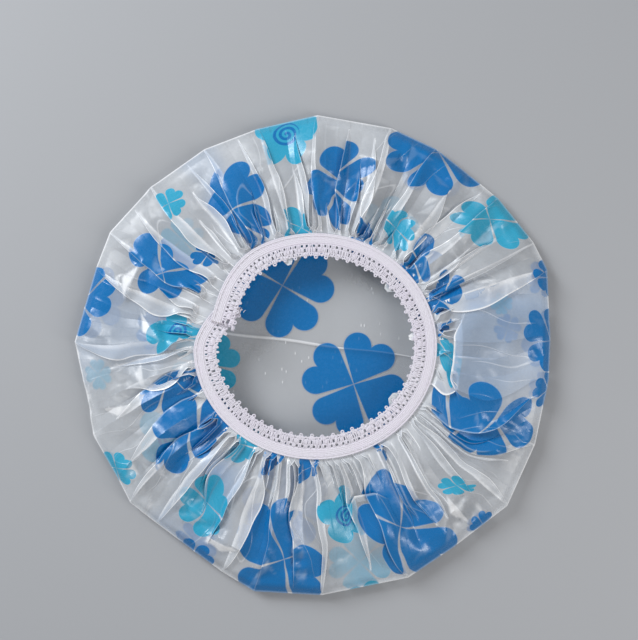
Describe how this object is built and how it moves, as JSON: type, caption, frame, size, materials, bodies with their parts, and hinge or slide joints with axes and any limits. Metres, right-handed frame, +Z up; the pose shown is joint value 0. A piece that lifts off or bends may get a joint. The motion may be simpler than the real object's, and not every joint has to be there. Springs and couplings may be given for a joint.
{
  "type": "shower cap",
  "caption": "Clear printed shower cap lying on its crown, with a gathered skirt and a lace-edged elastic band sewn round the mouth that lifts to open it.",
  "frame": {"origin": "middle of the crown's underside, on the table that the cap lies on", "axes": "+Z up out of the mouth, +X to the right of the picture, +Y towards its top"},
  "size_m": [0.2785, 0.2809, 0.026],
  "materials": {
    "film": "clear soft film, slightly milky",
    "tape": "knitted, matt",
    "lace": "crocheted yarn, matt",
    "core": "raw rubber",
    "thread": "sewing thread"
  },
  "bodies": {
    "cap": {"film": "film"},
    "mouth": {"elastic_tape": "tape", "lace_edge": "lace", "rubber_core_1": "core", "rubber_core_2": "core", "rubber_core_3": "core", "needle_thread": "thread", "bobbin_thread": "thread"}
  },
  "joints": [
    {"name": "mouth_lift", "type": "slide", "parent": "cap", "child": "mouth", "axis": [0, 0, 1], "range_m": [0, 0.035], "deforming": ["film"]}
  ]
}
